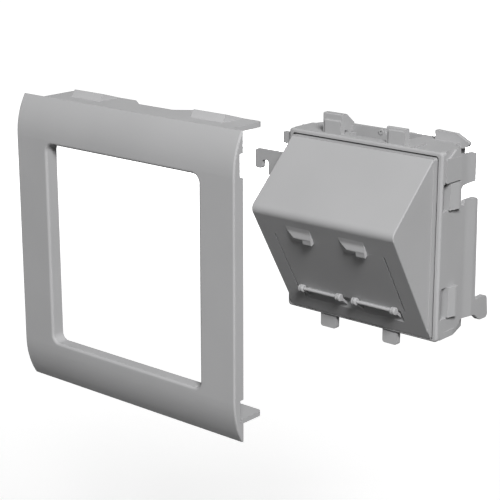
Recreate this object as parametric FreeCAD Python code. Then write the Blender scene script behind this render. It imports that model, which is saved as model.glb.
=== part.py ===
import FreeCAD, Part
import math
import os

# Angled data outlet plate for cable trunking: a cover frame, shown taken off and standing in front,
# and the module that it covers, which is a chassis, a wedge-shaped hood and a clip-in port panel.
# Millimetres. Each piece is drawn with y = 0 at its own front plane, x to the right and z up.
# The finished part has the chassis's rear rim in the plane y = 0, with the wall behind it.

bury = 0.5                     # how far a piece that stands on another reaches into it

# Bezel and walls of the chassis
bezel_width = 59.8
bezel_height = 60.8
bezel_corner = 1.2
bezel_round = 0.8
bezel_lip = 1.7                # depth of the bezel before its sides step in
side_step = 0.45               # the flanks lie this far inside the bezel
top_step = 0.05
chassis_depth = 19.8
chassis_wall = 2.2

# Hood's seat in the bezel
seat_depth = 2.6
seat_ledge = 0.5
bezel_face_side = 1.5
bezel_face_top = 1.25
bezel_face_bottom = 0.6
hood_gap_side = 0.6
hood_gap_top = 0.55
hood_gap_bottom = 0.3

# Angled hood
ridge_reach = 22.3
ridge_height = 8.2
ridge_round = 2.6
hood_wall = 1.8
hood_edge_round = 0.4
hood_brow = 1.5                # the hood's rim stands this far in front of the bezel
hood_brow_step = 0.3           # the slanted top meets the rim this far below its edge
hood_rim_step = 0.2            # the wedge's sides lie this far inside the rim
hood_rim_corner = 0.8
skirt_depth = 5.0
skirt_wall = 1.4
skirt_gap = 0.3
skirt_lap = 0.4                # depth over which the skirt and the wedge run into each other

# Aperture and trough in the hood's lower face, measured down the face from the ridge corner
aperture_side_land = 6.2
aperture_start = 9.6
trough_below = 5.2             # face left under the trough
trough_height = 5.2
trough_land = 2.2              # sloping lower side of the trough
trough_land_depth = 1.1
trough_side_step = 1.9
panel_side_gap = 0.45
panel_top_gap = 0.02
panel_thick = 1.6
rail_width = 1.6
rail_height = 1.4
rail_overlap = 1.2             # how far a rail reaches in behind the panel
rail_end_gap = 1.0

# Lips over the panel's top edge
lip_offset = 10.4              # middle of a lip from the hood's middle
lip_width = 9.4
lip_start = 4.9
lip_foot = 6.7                 # the face runs gently up to here, then steeper to the crest
lip_foot_rise = 0.2
lip_foot_round = 2.5
lip_crest = 8.5
lip_crest_rise = 1.25
lip_crest_round = 0.8
lip_end = 10.3
lip_end_rise = 0.7
lip_run_in = 3.2               # length over which a lip's left end rises
lip_gap = 0.12                 # air between a lip and the panel
nib_width = 3.3                # blunt end of a lip, on its right
nib_start = 7.8
nib_end = 10.4
nib_rise = 1.6

# Forked ears and the panel's bars
near_ear = 3.2
far_ear_inset = 1.4            # an outer ear's middle from the trough's end
ear_width = 1.9
ear_radius = 1.25
ear_round = 0.3
ear_groove = 0.4
ear_groove_depth = 0.4
strut_width = 1.1
strut_thick = 0.9
strut_top = (0.6, -0.3)        # upper end of a strut's middle line, from the bar
strut_foot = (0.9, 1.0)        # its lower end, above the trough's end and below the face
bar_above_trough = 0.9         # middle of a bar above the trough's upper edge
bar_rise = 1.4
bar_radius = 0.55
bar_gap = 0.1
bar_entry = 0.6                # length of bar inside an ear
web_thick = 0.64
web_gap = 0.35
tongue_reach = 2.0             # tongue on the panel's lower edge that carries a web
tongue_drop = 0.6

# Cover frame. The window clears the bezel that comes through it.
frame_width = 86.0
frame_height = 88.4
frame_set_back = 3.48          # the front bends back by this at its top and bottom edges
frame_skin = 2.2
frame_edge_round = 0.55
window_side_gap = 0.35
window_top_gap = 0.4
window_corner = 2.4
window_rise = 0.2              # the window's centre above the frame's
window_round = 0.8
window_margin = 0.3            # flat front left between the window's rounded edge and the bend
return_wall = 1.5
return_depth = 4.15
rim_wall = 1.3
edge_land = 0.3                # skin left at the top and bottom edges
notch_floor = 2.5
notch_start = 0.6              # the rims' notches start this far inside the bend
notch_length = 6.6
flange_length = 74.0
flange_thick = 1.4
flange_bury = 0.2              # a flange starts this far inside the skin
flange_reach = 15.25           # behind the rims
flange_waist_reach = 11.65
flange_waist_narrow = 13.4     # where the shallower middle is full depth down to
flange_waist_wide = 22.8
flange_waist_round = 0.5
flange_corner = 1.6
top_flange_drop = 0.6          # flange face below or above the skin's own edge
bottom_flange_drop = 1.8
catch_inner = 17.9
catch_length = 12.0
catch_start = 6.75             # behind the rims
catch_crest = 8.15
catch_height = 2.1
catch_round = 0.25

# Cover frame's place in front of the module, as it stands when it is taken off
frame_stand_off = 85.1
frame_shift_left = 22.6
frame_lift = 4.6

# Claws on the chassis's top
claw_left = -15.9              # left side of each claw's face pad
claw_right = 9.0
claw_width = 6.3
claw_front = 0.9
claw_pad = 0.7
claw_wing = 1.2                # a claw's body reaches this far to the left of its pad
claw_back = 2.2                # from a claw's front to the rear of its stem
claw_round = 0.4
claw_pad_height = 4.5
claw_height_left = 6.5
claw_height_right = 5.2
nose_flat = 1.0                # level top of the left claw behind its stem
nose_reach = 7.8               # tip of the left claw's nose behind the claw's front
nose_under = 1.8               # underside of the nose above the bezel
nose_tip = 2.9

# Top wall's rear corners: (in from the bezel's side, in front of the seat plane, corner radius)
top_wall_right = ((0.0, 8.8, 0.4), (3.9, 8.2, 1.0), (4.5, 0.0, 0.8))
top_wall_left = ((11.1, 0.0, 0.5), (2.4, 5.4, 0.5), (1.6, 7.8, 0.4), (0.0, 7.8, 0.5))

# Well in the chassis's top, with the notched plate behind it
well_left = 17.5
well_right = 10.6
well_front = 3.2
well_claw_gap = 0.6
well_widening = 8.5            # depth at which it widens behind the claws
well_corner = 0.6
well_plate = 1.8
well_plate_height = 4.4
well_plate_left = 18.6
well_plate_right = 25.2
notch_left = -4.5
notch_right = 4.4
notch_drop = 2.2
notch_corner = 1.9
boss_beside_notch = 1.4
boss_drop = 1.05
boss_radius = 0.9
boss_hole = 0.3
boss_height = 0.3

# Flank outline: (behind the seat plane, below the bezel's top or above its bottom, corner radius)
flank_upper = ((-10.0, 0.05, 0.5), (-8.6, 1.95, 0.8), (-5.8, 2.8, 1.2), (-0.05, 3.0, 0.7),
               (0.0, 12.2, 0.5), (-6.6, 12.7, 1.6), (-8.4, 14.8, 1.4), (-8.0, 19.1, 0.3),
               (-5.4, 19.25, 0.4), (-5.0, 17.7, 0.6), (1.7, 17.7, 1.2))
flank_lower = ((2.5, 8.4, 1.0), (4.2, 8.7, 0.8), (9.6, 8.9, 1.6), (10.6, 1.0, 1.4), (5.8, 1.1, 1.2),
               (2.2, 3.8, 2.5), (-4.9, 4.0, 0.6), (-5.6, 2.8, 0.3), (-9.6, 0.2, 0.5))
flank_dish = 0.5               # the flank draws in by this on its way back
flank_dish_rear = 4.0          # down to here in front of the seat plane
flank_flare = 0.1              # and then comes out past its front by this
flank_flare_rear = 0.4         # at this depth behind the seat plane
flank_dish_round = 12.0
bottom_corner_depth = 9.8      # cut rear corners of the bottom wall
bottom_corner_width = 3.0

# Pad on the flank, and the gusset above it, measured below the bezel's top
pad_front = 2.0
pad_rear = 10.4
pad_top = 2.4
pad_bottom = 9.9
pad_rise = 0.4
pad_round = 0.4
gusset_front = 3.9
gusset_apex = 7.5
gusset_rear = 10.7
gusset_rise = 0.25

# Snap ramps: (lower end, upper end, front), up from the bezel's middle and behind its front
ramp_places = ((11.6, 20.0, 4.7), (-23.4, -13.7, 5.7))
ramp_start_rise = 0.15
ramp_crest = 8.6
ramp_rear = 10.2
ramp_rise = 0.9
ramp_round = 0.6
ramp_slot = 0.9                # slot through the flank in front of a ramp
recess_front = 0.9
recess_depth = 1.6
recess_growth = 0.3            # a recess is this much longer than its ramp each way

# Rear ear: (in from the bezel's right side, above the bezel's top, corner radius)
rear_ear_outline = ((13.5, -1.5, 0), (13.5, 3.0, 0.3), (5.6, 2.6, 1.2), (0.7, 0.3, 0.8), (1.5, -1.0, 0.5),
                    (3.2, -1.6, 0.4), (4.8, -1.6, 0))
rear_ear_front = 4.0           # in front of the seat plane
rear_ear_thick = 1.8

# Rib on the right of the top, its ends measured in from the bezel's side
rib_front_inset = 10.55
rib_rear_inset = 11.6
rib_front = 0.9
rib_rear = 7.7
rib_width = 0.9
rib_height = 0.5

# Tabs under the chassis
tab_height = 4.6
tab_thick = 1.9
tab_width_left = 6.3
tab_width_right = 5.7
tab_middle_left = -13.3
tab_middle_right = 11.5
tab_corner = 0.9

# Hook arm and small ear on the left flank
hook_arm_reach = 16.3          # tip of the outward hook arm beyond the bezel
hook_arm_top = 9.5             # below the bezel's top
hook_arm_low = 17.8
hook_finger = 3.0
hook_slot = 2.7
hook_slot_drop = 3.5           # top of the slot below the arm's top
hook_drop = 6.6
hook_front = 2.2
hook_thick = 1.6
hook_round = 0.9
left_ear_reach = 3.3
left_ear_top = 1.9             # below the bezel's top
left_ear_height = 3.8
left_ear_front = 1.0
left_ear_thick = 1.8

# Worked out from the above
bezel_side = bezel_width / 2
bezel_top = bezel_height / 2
body_side = bezel_side - side_step
body_top = bezel_top - top_step
wall_inside = bezel_side - chassis_wall
hood_width = bezel_width - 2 * (bezel_face_side + hood_gap_side)
hood_top = bezel_top - bezel_face_top - hood_gap_top
hood_bottom = -bezel_top + bezel_face_bottom + hood_gap_bottom
wedge_side = hood_width / 2 - hood_rim_step
seat_side = hood_width / 2 - seat_ledge
seat_top = bezel_top - chassis_wall
face_length = math.hypot(ridge_reach, ridge_height - hood_bottom)
aperture_side = hood_width / 2 - aperture_side_land
trough_end = face_length - trough_below
trough_start = trough_end - trough_height
trough_throat = trough_end - trough_land
trough_side = aperture_side - trough_side_step
far_ear = trough_side - far_ear_inset
bar_along = trough_start - bar_above_trough
window_width = bezel_width + 2 * window_side_gap
window_height = bezel_height + 2 * window_top_gap
frame_side = frame_width / 2
frame_top = frame_height / 2
frame_flat = window_height / 2 + window_rise + window_round + window_margin
frame_bend_radius = ((frame_top - frame_flat) ** 2 + frame_set_back ** 2) / (2 * frame_set_back)
rim_rear = frame_set_back + edge_land
flange_rear = rim_rear + flange_reach


def vec(x, y, z):
    return FreeCAD.Vector(x, y, z)


def block(low, high):
    size = [high[i] - low[i] for i in range(3)]
    return Part.makeBox(size[0], size[1], size[2], vec(*low))


def line(start, end):
    return Part.LineSegment(start, end).toShape()


def rounded_wire(corners, place):
    """Closed outline through (u, v, radius) corners, each rounded by its own arc."""
    count = len(corners)
    stretches = []
    for i, (u, v, radius) in enumerate(corners):
        before = corners[i - 1]
        after = corners[(i + 1) % count]
        back = FreeCAD.Vector(before[0] - u, before[1] - v, 0).normalize()
        onward = FreeCAD.Vector(after[0] - u, after[1] - v, 0).normalize()
        corner = FreeCAD.Vector(u, v, 0)
        half = back.getAngle(onward) / 2
        cut = radius / math.tan(half)
        middle = (back + onward).normalize() * (radius / math.sin(half) - radius)
        stretches.append((corner + back * cut, corner + middle, corner + onward * cut, radius))
    edges = []
    for i, (start, middle, end, radius) in enumerate(stretches):
        if radius > 0:
            edges.append(Part.Arc(place(start), place(middle), place(end)).toShape())
        following = stretches[(i + 1) % count][0]
        if end.distanceToPoint(following) > 1e-6:
            edges.append(line(place(end), place(following)))
    return Part.Wire(edges)


def prism_along_x(corners, x_low, x_high):
    """Corners are (y, z, radius)."""
    wire = rounded_wire(corners, lambda p: vec(x_low, p.x, p.y))
    return Part.Face(wire).extrude(vec(x_high - x_low, 0, 0))


def prism_along_y(corners, y_low, y_high):
    """Corners are (x, z, radius)."""
    wire = rounded_wire(corners, lambda p: vec(p.x, y_low, p.y))
    return Part.Face(wire).extrude(vec(0, y_high - y_low, 0))


def prism_along_z(corners, z_low, z_high):
    """Corners are (x, y, radius)."""
    wire = rounded_wire(corners, lambda p: vec(p.x, p.y, z_low))
    return Part.Face(wire).extrude(vec(0, 0, z_high - z_low))


def rectangle(u_low, u_high, v_low, v_high, radius):
    return [(u_low, v_low, radius), (u_high, v_low, radius), (u_high, v_high, radius), (u_low, v_high, radius)]


def mirrored(shape, normal):
    return shape.mirror(vec(0, 0, 0), normal)


def joined(shapes):
    return shapes[0].fuse(shapes[1:]).removeSplitter()


def edges_within(shape, low, high):
    """Edges of a shape whose boxes lie inside a box."""
    room = FreeCAD.BoundBox(*low, *high)
    return [edge for edge in shape.Edges if room.isInside(edge.BoundBox)]


# Cover frame

def frame_bend_point(radius, height):
    """Depth of the bent front at a height, for a circle about the bend's centre."""
    rise = height - frame_flat
    return frame_bend_radius - math.sqrt(radius ** 2 - rise ** 2)


def frame_bend_arc(radius, height, side, x):
    """Arc of the bent front from the flat's edge to a height, above (side 1) or below (side -1)."""
    middle = (frame_flat + height) / 2
    start = vec(x, frame_bend_radius - radius, side * frame_flat)
    half_way = vec(x, frame_bend_point(radius, middle), side * middle)
    end = vec(x, frame_bend_point(radius, height), side * height)
    return Part.Arc(start, half_way, end).toShape()


def bent_face(radius, height, rear, x):
    """Face between a front bent to a radius, up to a height each way, and a flat rear plane."""
    front = frame_bend_radius - radius
    end = frame_bend_point(radius, height)
    edges = [line(vec(x, front, -frame_flat), vec(x, front, frame_flat)),
             line(vec(x, rear, -height), vec(x, rear, height))]
    for side in (1, -1):
        edges.append(frame_bend_arc(radius, height, side, x))
        edges.append(line(vec(x, end, side * height), vec(x, rear, side * height)))
    return Part.Face(Part.Wire(Part.__sortEdges__(edges)))


def frame_shell():
    """Bent skin with a notched rim behind each side edge; the front's side edges are rounded."""
    rear = rim_rear + 2 * frame_skin
    outer = bent_face(frame_bend_radius, frame_top, rear, -frame_side).extrude(vec(frame_width, 0, 0))
    picked = []
    for edge in outer.Edges:
        at_side = abs(abs(edge.CenterOfMass.x) - frame_side) < 1e-6
        if at_side and edge.CenterOfMass.y < frame_set_back and edge.Length > frame_skin:
            picked.append(edge)
    outer = outer.makeFillet(frame_edge_round, picked)
    inner = frame_bend_radius - frame_skin
    height = frame_flat + (frame_top - frame_flat) * inner / frame_bend_radius
    hollow_side = frame_side - rim_wall
    hollow = bent_face(inner, height, rear + 1, -hollow_side).extrude(vec(2 * hollow_side, 0, 0))
    behind = block((-frame_side - 1, rim_rear, -frame_top - 1), (frame_side + 1, rear + 2, frame_top + 1))
    shell = outer.cut(hollow).cut(behind)
    notch_low = frame_flat - notch_start
    notch = block((hollow_side, notch_floor, notch_low), (frame_side + 1, rim_rear + 1, notch_low + notch_length))
    for across in (notch, mirrored(notch, vec(1, 0, 0))):
        shell = shell.cut(across).cut(mirrored(across, vec(0, 0, 1)))
    return shell


def window_prism(grow, y_low, y_high):
    half_width = window_width / 2 + grow
    low = window_rise - window_height / 2 - grow
    high = window_rise + window_height / 2 + grow
    return prism_along_y(rectangle(-half_width, half_width, low, high, window_corner + grow), y_low, y_high)


def flange_plan(front):
    half = flange_length / 2
    right = [(half, front, 0), (half, flange_rear, flange_corner),
             (flange_waist_wide / 2, flange_rear, flange_waist_round),
             (flange_waist_narrow / 2, rim_rear + flange_waist_reach, flange_waist_round)]
    left = [(-x, y, radius) for x, y, radius in reversed(right)]
    return right + left


def catch(side):
    front = rim_rear + catch_start
    profile = [(front, 0, 0), (rim_rear + catch_crest, catch_height, catch_round), (flange_rear, 0, 0),
               (flange_rear, -bury, 0), (front, -bury, 0)]
    low = catch_inner if side > 0 else -catch_inner - catch_length
    return prism_along_x(profile, low, low + catch_length)


def flange(drop):
    """A rear flange as it lies at the top edge, with its two snap catches."""
    face = frame_top - drop
    front = frame_bend_point(frame_bend_radius, face) + flange_bury
    plate = prism_along_z(flange_plan(front), face - flange_thick, face)
    catches = [catch(side).translate(vec(0, 0, face)) for side in (1, -1)]
    return joined([plate] + catches)


def cover_frame():
    body = joined([frame_shell(), window_prism(return_wall, frame_skin / 2, return_depth)])
    body = body.cut(window_prism(0, -1, return_depth + 1))
    reach = (window_width / 2 + 0.01, window_height / 2 + window_rise + 0.01)
    rim = edges_within(body, (-reach[0], -0.01, -reach[1]), (reach[0], 0.01, reach[1]))
    body = body.makeFillet(window_round, rim)
    top = flange(top_flange_drop)
    bottom = mirrored(flange(bottom_flange_drop), vec(0, 0, 1))
    return joined([body, top, bottom])


# Hood, aperture, lips and ears. Places on the lower face are (along, rise): along runs down the face
# from the ridge corner and rise stands out of it.

face_angle = math.atan2(ridge_height - hood_bottom, ridge_reach)
along_y = math.cos(face_angle)
along_z = -math.sin(face_angle)


def on_face(along, rise):
    y = -ridge_reach + along * along_y + rise * along_z
    z = ridge_height + along * along_z - rise * along_y
    return y, z


def face_prism(corners, x_low, x_high):
    """Prism along x whose corners (along, rise, radius) lie on the hood's lower face."""
    wire = rounded_wire(corners, lambda p: vec(x_low, *on_face(p.x, p.y)))
    return Part.Face(wire).extrude(vec(x_high - x_low, 0, 0))


def down_face_prism(corners, along_low, along_high):
    """Prism that runs down the lower face, with corners (x, rise, radius)."""
    wire = rounded_wire(corners, lambda p: vec(p.x, *on_face(along_low, p.y)))
    run = along_high - along_low
    return Part.Face(wire).extrude(vec(0, run * along_y, run * along_z))


def face_block(x_low, x_high, along_low, along_high, rise_low, rise_high):
    return face_prism(rectangle(along_low, along_high, rise_low, rise_high, 0), x_low, x_high)


def face_slab(start, end, thick, x_low, x_high):
    """Slab of even thickness round the line between two places (along, rise)."""
    length = math.hypot(end[0] - start[0], end[1] - start[1])
    across = (-(end[1] - start[1]) * thick / 2 / length, (end[0] - start[0]) * thick / 2 / length)
    corners = []
    for point, side in ((start, 1), (end, 1), (end, -1), (start, -1)):
        corners.append((point[0] + side * across[0], point[1] + side * across[1], 0))
    return face_prism(corners, x_low, x_high)


def bar_rod(radius, x_low, x_high):
    """Rod on the axis of the panel's bars."""
    y, z = on_face(bar_along, bar_rise)
    return Part.makeCylinder(radius, x_high - x_low, vec(x_low, y, z), vec(1, 0, 0))


def wedge(inset, y_rear):
    """Wedge outline pulled in by an even amount, with its rear plane at y_rear."""
    slope = math.atan2(hood_top - hood_brow_step - ridge_height, ridge_reach - hood_brow)
    drop = inset / math.cos(slope)
    lift = inset / math.cos(face_angle)
    top_rise = math.tan(slope)
    face_rise = math.tan(face_angle)
    y_ridge = -ridge_reach + (drop + lift) / (top_rise + face_rise)
    z_ridge = ridge_height - drop + (y_ridge + ridge_reach) * top_rise
    top = hood_top - hood_brow_step - drop
    low = hood_bottom + lift
    half = wedge_side - inset
    profile = [(-hood_brow, top, 0), (y_ridge, z_ridge, ridge_round - inset), (0, low, 0), (y_rear, low, 0),
               (y_rear, top, 0)]
    return prism_along_x(profile, -half, half)


def hood_rim():
    """Upright rim round the hood's base, cut off at the bottom along the lower face."""
    half = hood_width / 2
    ring = prism_along_y(rectangle(-half, half, hood_bottom, hood_top, hood_rim_corner), -hood_brow, seat_depth)
    side = [(-hood_brow, hood_top + 1, 0), (-hood_brow, hood_bottom + hood_brow * math.tan(face_angle), 0),
            (0, hood_bottom, 0), (seat_depth, hood_bottom, 0), (seat_depth, hood_top + 1, 0)]
    return ring.common(prism_along_x(side, -half, half))


def skirt_ring():
    """Skirt behind the hood's base, a running fit inside the chassis walls."""
    x = seat_side - skirt_gap
    z = seat_top - skirt_gap
    low = seat_depth - skirt_lap
    high = seat_depth + skirt_depth
    outer = prism_along_y(rectangle(-x, x, -z, z, 1.0), low, high)
    hollow = rectangle(-x + skirt_wall, x - skirt_wall, -z + skirt_wall, z - skirt_wall, 0.6)
    return outer, prism_along_y(hollow, -skirt_lap, high + 1)


def round_hood_edges(body):
    """Rounds the four slanted side edges of the wedge."""
    picked = []
    for edge in body.Edges:
        direction = edge.tangentAt(edge.FirstParameter)
        middle = edge.CenterOfMass
        slanted = abs(direction.x) < 1e-6 and abs(direction.y) > 0.2 and abs(direction.z) > 0.2
        if slanted and abs(abs(middle.x) - wedge_side) < 1e-6 and edge.Length > ridge_reach:
            picked.append(edge)
    return body.makeFillet(hood_edge_round, picked)


def lip(middle):
    """Lip over the panel's top edge: its left end rises from the face, its right end is a blunt nib."""
    low = middle - lip_width / 2
    high = middle + lip_width / 2
    root = aperture_start - 2 * lip_gap
    under = [(root, lip_gap, 0), (root, -bury, 0)]
    swell = face_prism([(lip_start, -bury, 0), (lip_start, 0, 0), (lip_foot, lip_foot_rise, lip_foot_round),
                        (lip_crest, lip_crest_rise, lip_crest_round), (lip_end, lip_end_rise, lip_gap), (lip_end, lip_gap, 0)] + under, low, high)
    over = lip_crest_rise + lip_gap
    fairing = down_face_prism([(low, -bury, 0), (low, lip_gap, 0), (low + lip_run_in, over, lip_foot_round), (high, over, 0),
                               (high, -bury, 0)], lip_start, lip_end)
    nib = face_prism([(nib_start, -bury, 0), (nib_start, bury, 0), (lip_crest, lip_crest_rise - lip_gap, 0),
                      (nib_end, nib_rise, 0.2), (nib_end, lip_gap, 0)] + under, high - nib_width, high)
    return joined([swell.common(fairing), nib])


def ear(middle, inner_side):
    """Forked ear round the end of a bar, on a strut that rises from the trough's sloping land."""
    low = middle - ear_width / 2
    high = middle + ear_width / 2
    knob = bar_rod(ear_radius, low, high)
    rims = [edge for edge in knob.Edges if isinstance(edge.Curve, Part.Circle)]
    knob = knob.makeFillet(ear_round, rims)
    groove = bar_rod(ear_radius + 1, middle - ear_groove / 2, middle + ear_groove / 2)
    groove = groove.cut(bar_rod(ear_radius - ear_groove_depth, low, high))
    top = (bar_along + strut_top[0], bar_rise + strut_top[1])
    foot = (trough_end - strut_foot[0], -strut_foot[1])
    strut = face_slab(top, foot, strut_thick, middle - strut_width / 2, middle + strut_width / 2)
    body = joined([knob.cut(groove), strut])
    depth = bar_entry + bar_gap
    socket_low = high - depth if inner_side > 0 else low - 1
    socket_high = high + 1 if inner_side > 0 else low + depth
    return body.cut(bar_rod(bar_radius + bar_gap, socket_low, socket_high))


def rails():
    """Two rails inside the lower face, behind the aperture's sides, that the panel lies on."""
    start = aperture_start + rail_end_gap
    end = trough_start - rail_end_gap
    low = aperture_side - rail_overlap - panel_side_gap
    high = low + rail_width + panel_side_gap
    rail = face_block(low, high, start, end, -panel_thick - rail_height, -panel_thick)
    tie = face_block(aperture_side - bar_gap, high + rail_overlap, start, end, -panel_thick - rail_height,
                     -hood_wall + bury)
    right = joined([rail, tie])
    return right, mirrored(right, vec(1, 0, 0))


def angled_hood():
    skirt, hollow = skirt_ring()
    outer = round_hood_edges(wedge(0, seat_depth))
    body = outer.fuse([hood_rim(), skirt]).cut(wedge(hood_wall, skirt_lap / 2)).cut(hollow)
    body = body.cut(face_block(-aperture_side, aperture_side, aperture_start, trough_start, -hood_wall - 1, 1))
    inside = -hood_wall - 1
    trough = [(trough_start - bury, 1, 0), (trough_end, 1, 0), (trough_end, 0, 0),
              (trough_throat, -trough_land_depth, 0), (trough_throat, inside, 0), (trough_start - bury, inside, 0)]
    body = body.cut(face_prism(trough, -trough_side, trough_side))
    added = list(rails())
    for side in (1, -1):
        added.append(lip(side * lip_offset))
        added.append(ear(side * near_ear, side))
        added.append(ear(side * far_ear, -side))
    return joined([body] + added)


# Port panel

def port_panel():
    half = aperture_side - panel_side_gap
    plate = face_block(-half, half, aperture_start + panel_top_gap, trough_start, -panel_thick, 0)
    tongue = trough_start + tongue_reach
    half_web = web_thick / 2
    web = [(trough_start - bury, -panel_thick, 0), (tongue, -panel_thick, 0), (tongue, -tongue_drop, 0),
           (bar_along + half_web, bar_rise, 0), (bar_along - half_web, bar_rise - half_web, 0),
           (trough_start + half_web, -tongue_drop, 0), (trough_start - bury, -tongue_drop, 0)]
    pieces = [plate]
    for side in (1, -1):
        inner = side * (near_ear + ear_width / 2)
        outer = side * (far_ear - ear_width / 2)
        low = min(inner, outer)
        high = max(inner, outer)
        pieces.append(bar_rod(bar_radius, low - bar_entry, high + bar_entry))
        pieces.append(face_prism(web, low + web_gap, high - web_gap))
    return joined(pieces)


# Chassis

def bezel_ring():
    """Bezel with its rounded front, and the seat for the hood cut into it."""
    outline = rectangle(-bezel_side, bezel_side, -bezel_top, bezel_top, bezel_corner)
    bezel = prism_along_y(outline, 0, bezel_lip)
    front = edges_within(bezel, (-bezel_side - 1, -0.01, -bezel_top - 1), (bezel_side + 1, 0.01, bezel_top + 1))
    bezel = bezel.makeFillet(bezel_round, front)
    body = prism_along_y(rectangle(-body_side, body_side, -body_top, body_top, bezel_corner), bezel_round,
                         seat_depth + bezel_lip)
    x = hood_width / 2 + hood_gap_side
    recess = rectangle(-x, x, hood_bottom - hood_gap_bottom, hood_top + hood_gap_top, hood_rim_corner + hood_gap_bottom)
    through = rectangle(-seat_side, seat_side, -seat_top, seat_top, bezel_corner)
    ring = joined([bezel, body]).cut(prism_along_y(recess, -1, seat_depth))
    return ring.cut(prism_along_y(through, -1, seat_depth + bezel_lip + 1))


def side_outline():
    """Right flank in (y, z): upper plate, concave cut, slot, long plate and the rearward hook."""
    outline = [(seat_depth, body_top, 0)]
    for depth, drop, radius in flank_upper:
        outline.append((chassis_depth + depth, bezel_top - drop, radius))
    for depth, rise, radius in flank_lower:
        outline.append((chassis_depth + depth, rise - bezel_top, radius))
    return outline + [(seat_depth, -body_top, 0)]


def snap_ramp(low, high, front):
    """Ramp that stands out of the flank, and the sloping recess and slot in front of it."""
    inside = wall_inside - 1
    crest = bezel_side + ramp_rise
    ramp = prism_along_z([(wall_inside, front, 0), (bezel_side + ramp_start_rise, front, 0),
                          (crest, ramp_crest, ramp_round), (crest, ramp_rear, ramp_round),
                          (wall_inside, ramp_rear, 0)], low, high)
    slot = front - ramp_slot
    recess = prism_along_z([(bezel_side, recess_front, 0), (bezel_side - recess_depth, slot, 0), (inside, slot, 0),
                            (inside, front, 0), (bezel_side + 1, front, 0), (bezel_side + 1, recess_front, 0)],
                           low - recess_growth, high + recess_growth)
    return ramp, recess


def flank():
    """Right flank with its raised pad and two snap ramps, and the recesses in front of the ramps."""
    out = bezel_side + 1
    far = chassis_depth + 2 * chassis_depth
    rear = body_side + flank_flare
    plan = [(wall_inside, 0, 0), (body_side, 0, 0), (body_side, bezel_lip, 0),
            (body_side - flank_dish, chassis_depth - flank_dish_rear, flank_dish_round),
            (rear, chassis_depth + flank_flare_rear, 1.0), (rear, far, 0), (wall_inside, far, 0)]
    wall = prism_along_x(side_outline(), wall_inside, out).common(prism_along_z(plan, -bezel_top - 1, bezel_top + 1))
    base = body_side - bury
    pad_low = bezel_top - pad_bottom
    pad_high = bezel_top - pad_top
    pad = prism_along_x(rectangle(pad_front, pad_rear, pad_low, pad_high, pad_round), base, bezel_side + pad_rise)
    gusset = prism_along_x([(gusset_front, pad_high - bury, 0), (gusset_front, pad_high, 0), (gusset_apex, body_top, 0),
                            (gusset_rear, pad_high, 0), (gusset_rear, pad_high - bury, 0)], base - bury,
                           bezel_side + gusset_rise)
    ramps = [snap_ramp(*ramp_place) for ramp_place in ramp_places]
    solid = joined([wall, pad, gusset] + [ramp for ramp, recess in ramps])
    return solid, [recess for ramp, recess in ramps]


def top_wall():
    """Top wall with its cut rear corners, the well between the claws and the notched plate behind it."""
    plan = [(-body_side, seat_depth, 0), (body_side, seat_depth, 0)]
    for inset, ahead, radius in top_wall_right:
        plan.append((min(bezel_side - inset, body_side), chassis_depth - ahead, radius))
    for inset, ahead, radius in top_wall_left:
        plan.append((max(inset - bezel_side, -body_side), chassis_depth - ahead, radius))
    wall = prism_along_z(plan, seat_top, body_top)
    rear = chassis_depth - well_plate
    front_left = claw_left + claw_width + well_claw_gap
    front_right = claw_right - claw_wing + well_claw_gap
    well = [(front_left, well_front, well_corner), (front_right, well_front, well_corner),
            (front_right, well_widening, 0), (well_right, well_widening, well_corner), (well_right, rear, 0),
            (-well_left, rear, 0), (-well_left, well_widening, well_corner), (front_left, well_widening, 0)]
    wall = wall.cut(prism_along_z(well, seat_top - 1, body_top + 1))
    plate = block((-well_plate_left, rear, bezel_top - well_plate_height), (well_plate_right, chassis_depth, body_top))
    boss_place = vec(notch_left - boss_beside_notch, rear, bezel_top - boss_drop)
    boss = Part.makeCylinder(boss_radius, boss_height + bury, boss_place - vec(0, boss_height, 0), vec(0, 1, 0))
    hole = Part.makeCylinder(boss_hole, boss_height + bury, boss_place - vec(0, boss_height, 0), vec(0, 1, 0))
    floor = bezel_top - notch_drop
    notch = prism_along_y([(notch_left, body_top + 1, 0), (notch_left, floor, notch_corner),
                           (notch_right, floor, notch_corner), (notch_right, body_top + 1, 0)], rear - 1,
                          chassis_depth + 1)
    return joined([wall, plate, boss]).cut(hole).cut(notch)


def bottom_wall():
    corner = chassis_depth - bottom_corner_depth
    inner = body_side - bottom_corner_width
    plan = [(-body_side, seat_depth, 0), (body_side, seat_depth, 0), (body_side, corner, 0.5),
            (inner, chassis_depth, 1.0), (-inner, chassis_depth, 1.0), (-body_side, corner, 0.5)]
    return prism_along_z(plan, -body_top, -seat_top)


def claw(low, height, nose):
    """Claw on the top: a face pad in front of a wider body, with a rearward nose on one of them."""
    high = low + claw_width
    root = bezel_top - bury
    body_front = claw_front + claw_pad
    stem_rear = claw_front + claw_back
    crown = bezel_top + height
    pad_crown = bezel_top + claw_pad_height
    pad = prism_along_x([(claw_front, root, 0), (claw_front, pad_crown, claw_round), (body_front + bury, pad_crown, 0),
                         (body_front + bury, root, 0)], low, high)
    profile = [(body_front, root, 0), (body_front, crown, claw_round)]
    if nose:
        profile += [(stem_rear + nose_flat, crown, claw_round), (claw_front + nose_reach, bezel_top + nose_tip, 0.3),
                    (stem_rear, bezel_top + nose_under, claw_round)]
    else:
        profile += [(stem_rear, crown, claw_round)]
    body = prism_along_x(profile + [(stem_rear, root, 0)], low - claw_wing, high)
    return joined([pad, body])


def tab(middle, width):
    low = -bezel_top - tab_height
    outline = [(middle - width / 2, -bezel_top + bury, 0), (middle - width / 2, low, tab_corner),
               (middle + width / 2, low, tab_corner), (middle + width / 2, -bezel_top + bury, 0)]
    return prism_along_y(outline, claw_front, claw_front + tab_thick)


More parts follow.
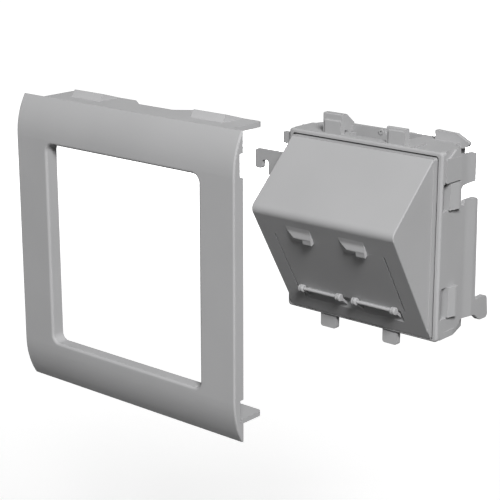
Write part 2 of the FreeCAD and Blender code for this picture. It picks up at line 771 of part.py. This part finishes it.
def rear_ear():
    """Ear on the rear of the top wall, with a rounded tip that reaches past the flank."""
    outline = [(bezel_side - inset, bezel_top + rise, radius) for inset, rise, radius in rear_ear_outline]
    front = chassis_depth - rear_ear_front
    return prism_along_y(outline, front, front + rear_ear_thick)


def surface_rib():
    front = bezel_side - rib_front_inset
    rear = bezel_side - rib_rear_inset
    half = rib_width / 2
    plan = [(front - half, rib_front, 0), (front + half, rib_front, 0), (rear + half, rib_rear, 0),
            (rear - half, rib_rear, 0)]
    return prism_along_z(plan, bezel_top - bury, bezel_top + rib_height)


def hook_arm():
    """Outward hook arm on the left flank, just behind the bezel."""
    root = -body_side + bury
    tip = -bezel_side - hook_arm_reach
    top = bezel_top - hook_arm_top
    low = bezel_top - hook_arm_low
    finger = tip + hook_finger
    inner = finger + hook_slot
    outline = [(root, top, 0), (tip, top, hook_round), (tip, top - hook_drop, hook_round),
               (finger, top - hook_drop, hook_round), (finger, top - hook_slot_drop, hook_round),
               (inner, top - hook_slot_drop, hook_round), (inner, low, bury), (root, low, 0)]
    return prism_along_y(outline, hook_front, hook_front + hook_thick)


def left_ear():
    top = bezel_top - left_ear_top
    return block((-bezel_side - left_ear_reach, left_ear_front, top - left_ear_height),
                 (-body_side + bury, left_ear_front + left_ear_thick, top))


def chassis():
    right, recesses = flank()
    pieces = [bezel_ring(), top_wall(), bottom_wall(), right, mirrored(right, vec(1, 0, 0)),
              claw(claw_left, claw_height_left, True), claw(claw_right, claw_height_right, False),
              tab(tab_middle_left, tab_width_left), tab(tab_middle_right, tab_width_right),
              rear_ear(), surface_rib(), hook_arm(), left_ear()]
    body = joined(pieces)
    upper, lower = recesses
    # The hook arm stands where the left flank would have the upper recess
    for recess in (upper, lower, mirrored(lower, vec(1, 0, 0))):
        body = body.cut(recess)
    return body.removeSplitter()


def place(shape, offset):
    moved = shape.copy()
    moved.translate(vec(*offset))
    return moved


def main():
    os.makedirs("parts", exist_ok=True)
    rim_centre = bezel_top - chassis_wall / 2
    module = (0, -chassis_depth, rim_centre)
    apart = (-frame_shift_left, -chassis_depth - frame_stand_off, rim_centre + frame_lift)
    nodes = {
        "cover_frame": place(cover_frame(), apart),
        "chassis": place(chassis(), module),
        "angled_hood": place(angled_hood(), module),
        "port_panel": place(port_panel(), module),
    }
    for name, shape in nodes.items():
        print(name, "valid", shape.isValid(), "solids", len(shape.Solids), "volume", round(shape.Volume, 1))
        shape.exportStep("parts/" + name + ".step")


main()
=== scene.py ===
import bpy
import math
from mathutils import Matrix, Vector


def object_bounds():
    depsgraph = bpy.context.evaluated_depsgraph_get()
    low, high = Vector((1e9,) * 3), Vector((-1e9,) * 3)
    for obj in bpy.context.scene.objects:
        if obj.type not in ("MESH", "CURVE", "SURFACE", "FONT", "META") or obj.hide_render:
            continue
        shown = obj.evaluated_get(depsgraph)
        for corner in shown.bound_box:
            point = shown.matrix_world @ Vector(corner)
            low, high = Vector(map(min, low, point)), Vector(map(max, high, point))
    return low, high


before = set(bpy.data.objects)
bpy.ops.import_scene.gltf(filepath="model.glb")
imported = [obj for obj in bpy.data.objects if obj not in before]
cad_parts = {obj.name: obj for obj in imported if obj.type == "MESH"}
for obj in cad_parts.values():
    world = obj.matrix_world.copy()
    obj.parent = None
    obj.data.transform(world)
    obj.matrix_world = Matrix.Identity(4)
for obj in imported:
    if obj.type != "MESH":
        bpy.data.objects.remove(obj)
cadLow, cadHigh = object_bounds()
print("frame loaded:", sorted(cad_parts))


def directionFrom(azimuth, elevation):
    # unit vector towards a place seen at that azimuth and height, azimuth 0 being straight in front
    turn = math.radians(azimuth)
    rise = math.radians(elevation)
    return Vector((math.sin(turn) * math.cos(rise), -math.cos(turn) * math.cos(rise), math.sin(rise)))


def addNode(tree, kind, **inputs):
    # a new node with the named sockets set, an underscore standing for a space in a socket's name
    node = tree.nodes.new(kind)
    for name, value in inputs.items():
        node.inputs[name.replace("_", " ")].default_value = value
    return node


# The plastic of the mouldings: mid grey, nearly matt, with a fine grain. Lengths are in metres.
framePlastic = {
    "slot": "frame_plastic",
    "nodes": ["cover_frame"],
    "colour": (0.44, 0.44, 0.445),
    "shadeSpread": 0.03,       # how far the grey drifts, as a share of the colour
    "shadeReach": 0.2,         # from the noise's middle to where the drift is full
    "gloss": 0.08,
    "roughness": 0.55,
    "roughnessSpread": 0.05,
    "grainSize": 0.00035,
    "grainDetail": 3.0,
    "grainHarshness": 0.6,
    "grainHeight": 0.0001,
    "grainDepth": 0.05,        # strength of the bump, 1 at most
    "waveSize": 0.03,
    "waveDetail": 2.0,
    "waveHeight": 0.001,
    "waveDepth": 0.02,
}
hoodPlastic = dict(framePlastic, slot="hood_plastic", nodes=["angled_hood", "port_panel"], roughness=0.53)
chassisPlastic = dict(framePlastic, slot="chassis_plastic", nodes=["chassis"],
                      roughness=0.57, grainDepth=0.07)


def mouldedPlastic(settings):
    # the grey drifts along a broad noise and the roughness along a fine one, and both go into the bump
    material = bpy.data.materials.new(settings["slot"] + "Finish")
    material.use_nodes = True
    tree = material.node_tree
    tree.nodes.clear()
    link = tree.links.new
    output = tree.nodes.new("ShaderNodeOutputMaterial")
    shader = addNode(tree, "ShaderNodeBsdfPrincipled", Specular_IOR_Level=settings["gloss"])
    link(shader.outputs["BSDF"], output.inputs["Surface"])
    place = tree.nodes.new("ShaderNodeTexCoord")

    wave = addNode(tree, "ShaderNodeTexNoise", Scale=1 / settings["waveSize"], Detail=settings["waveDetail"])
    link(place.outputs["Object"], wave.inputs["Vector"])
    shade = tree.nodes.new("ShaderNodeValToRGB")
    for element, sign in zip(shade.color_ramp.elements, (-1, 1)):
        share = 1 + sign * settings["shadeSpread"]
        element.position = 0.5 + sign * settings["shadeReach"]
        element.color = tuple(part * share for part in settings["colour"]) + (1.0,)
    link(wave.outputs["Fac"], shade.inputs["Fac"])
    link(shade.outputs["Color"], shader.inputs["Base Color"])

    grain = addNode(tree, "ShaderNodeTexNoise", Scale=1 / settings["grainSize"],
                    Detail=settings["grainDetail"], Roughness=settings["grainHarshness"])
    link(place.outputs["Object"], grain.inputs["Vector"])
    sheen = addNode(tree, "ShaderNodeMapRange",
                    To_Min=settings["roughness"] - settings["roughnessSpread"],
                    To_Max=settings["roughness"] + settings["roughnessSpread"])
    link(grain.outputs["Fac"], sheen.inputs["Value"])
    link(sheen.outputs["Result"], shader.inputs["Roughness"])

    waveBump = addNode(tree, "ShaderNodeBump",
                       Strength=settings["waveDepth"], Distance=settings["waveHeight"])
    link(wave.outputs["Fac"], waveBump.inputs["Height"])
    grainBump = addNode(tree, "ShaderNodeBump",
                        Strength=settings["grainDepth"], Distance=settings["grainHeight"])
    link(grain.outputs["Fac"], grainBump.inputs["Height"])
    link(waveBump.outputs["Normal"], grainBump.inputs["Normal"])
    link(grainBump.outputs["Normal"], shader.inputs["Normal"])
    return material


def dressNodes(settings):
    material = mouldedPlastic(settings)
    for name in settings["nodes"]:
        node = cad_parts[name]
        if not node.material_slots:
            node.data.materials.append(material)
        for slot in node.material_slots:
            slot.material = material
    print("dressed", settings["nodes"])


def seenDirectly(tree):
    # the largest of three flags: 1 on a camera ray, a reflection or a see-through ray, 0 on the others
    rays = tree.nodes.new("ShaderNodeLightPath")
    result = rays.outputs["Is Camera Ray"]
    for name in ("Is Glossy Ray", "Is Transmission Ray"):
        larger = tree.nodes.new("ShaderNodeMath")
        larger.operation = "MAXIMUM"
        tree.links.new(result, larger.inputs[0])
        tree.links.new(rays.outputs[name], larger.inputs[1])
        result = larger.outputs[0]
    return result


def pickSeen(tree, lighting, shown, output):
    # the shown shader where the floor or the sky is looked at, the other where it lights the part
    pick = tree.nodes.new("ShaderNodeMixShader")
    tree.links.new(seenDirectly(tree), pick.inputs["Fac"])
    tree.links.new(lighting.outputs[0], pick.inputs[1])
    tree.links.new(shown.outputs[0], pick.inputs[2])
    tree.links.new(pick.outputs[0], output.inputs["Surface"])


floorSettings = {
    "drop": 0.25,                   # below the lowest point of the part
    "reach": 3.0,                   # from the middle to each edge
    "colour": (0.75, 0.75, 0.75),
    "bounce": (0.05, 0.05, 0.05),   # the little that it throws back on the part
    "glowNear": 0.60,               # low enough to leave the part's shadow on it
    "glowFar": 1.0,
    "glowReach": (0.5, 1.6),        # metres from the origin where the glow starts and stops rising
}


def makeFloor(settings):
    # flat and pale, so it takes the part's shadow; its own glow lifts the rest of it towards white
    low = cadLow.z - settings["drop"]
    reach = settings["reach"]
    mesh = bpy.data.meshes.new("floor")
    corners = [(-reach, -reach, low), (reach, -reach, low), (reach, reach, low), (-reach, reach, low)]
    mesh.from_pydata(corners, [], [(0, 1, 2, 3)])
    floor = bpy.data.objects.new("floor", mesh)
    bpy.context.scene.collection.objects.link(floor)

    material = bpy.data.materials.new("paleFloor")
    material.use_nodes = True
    tree = material.node_tree
    tree.nodes.clear()
    output = tree.nodes.new("ShaderNodeOutputMaterial")
    pale = addNode(tree, "ShaderNodeBsdfDiffuse", Color=settings["colour"] + (1.0,))
    place = tree.nodes.new("ShaderNodeTexCoord")
    distance = tree.nodes.new("ShaderNodeVectorMath")
    distance.operation = "LENGTH"
    tree.links.new(place.outputs["Object"], distance.inputs[0])
    rise = addNode(tree, "ShaderNodeMapRange",
                   From_Min=settings["glowReach"][0], From_Max=settings["glowReach"][1],
                   To_Min=settings["glowNear"], To_Max=settings["glowFar"])
    tree.links.new(distance.outputs["Value"], rise.inputs["Value"])
    glow = tree.nodes.new("ShaderNodeEmission")
    tree.links.new(rise.outputs[0], glow.inputs["Strength"])
    shown = tree.nodes.new("ShaderNodeAddShader")
    tree.links.new(pale.outputs[0], shown.inputs[0])
    tree.links.new(glow.outputs[0], shown.inputs[1])
    bounce = addNode(tree, "ShaderNodeBsdfDiffuse", Color=settings["bounce"] + (1.0,))
    pickSeen(tree, bounce, shown, output)
    mesh.materials.append(material)
    print("floor at", round(low, 4))


skySettings = {
    "colour": (1.0, 1.0, 1.0),
    "seenStrength": 1.0,
    "lightStrength": 0.06,
}


def makeSky(settings):
    # white where the camera and reflections see it, far dimmer where it lights the part
    world = bpy.data.worlds.new("studio")
    bpy.context.scene.world = world
    world.use_nodes = True
    tree = world.node_tree
    tree.nodes.clear()
    output = tree.nodes.new("ShaderNodeOutputWorld")
    colour = settings["colour"] + (1.0,)
    lighting = addNode(tree, "ShaderNodeBackground", Color=colour, Strength=settings["lightStrength"])
    shown = addNode(tree, "ShaderNodeBackground", Color=colour, Strength=settings["seenStrength"])
    pickSeen(tree, lighting, shown, output)
    print("sky made")


# The key is high on the right, the fill lower and broader, and the back lamp shows the rear faces
keyLamp = {"azimuth": 50.0, "elevation": 37.0, "distance": 1.6, "size": 0.45, "power": 30.5}
fillLamp = {"azimuth": 15.0, "elevation": 20.0, "distance": 1.6, "size": 0.8, "power": 1.5}
backLamp = {"azimuth": 215.0, "elevation": -6.0, "distance": 1.6, "size": 0.2, "power": 9.0}


def makeLamp(name, settings):
    # a square lamp that faces the middle of the part
    target = (cadLow + cadHigh) / 2
    towards = directionFrom(settings["azimuth"], settings["elevation"])
    lamp = bpy.data.lights.new(name, "AREA")
    lamp.size = settings["size"]
    lamp.energy = settings["power"]
    holder = bpy.data.objects.new(name, lamp)
    bpy.context.scene.collection.objects.link(holder)
    holder.location = target + towards * settings["distance"]
    holder.rotation_euler = towards.to_track_quat("Z", "Y").to_euler()
    print(name, "of", settings["power"], "W")


cameraSettings = {
    "azimuth": 40.5,
    "elevation": 16.2,
    "lens": 108.0,                          # millimetres, as is the sensor
    "sensor": 36.0,
    "target": (0.0260, -0.1049, 0.0474),
    "distance": 0.396,
    "clipStart": 0.01,
}


def makeCamera(settings):
    # upright, at its distance from the target and looking straight at it
    data = bpy.data.cameras.new("camera")
    data.lens = settings["lens"]
    data.sensor_width = settings["sensor"]
    data.clip_start = settings["clipStart"]
    camera = bpy.data.objects.new("camera", data)
    bpy.context.scene.collection.objects.link(camera)
    towards = directionFrom(settings["azimuth"], settings["elevation"])
    camera.location = Vector(settings["target"]) + towards * settings["distance"]
    turn = (math.radians(90 - settings["elevation"]), 0, math.radians(settings["azimuth"]))
    camera.rotation_euler = turn
    bpy.context.scene.camera = camera
    print("camera", settings["distance"], "m from its target")


makeCamera(cameraSettings)
for plastic in (framePlastic, hoodPlastic, chassisPlastic):
    dressNodes(plastic)
makeFloor(floorSettings)
makeSky(skySettings)
makeLamp("keyLamp", keyLamp)
makeLamp("fillLamp", fillLamp)
makeLamp("backLamp", backLamp)
bpy.context.scene.view_settings.view_transform = "Standard"
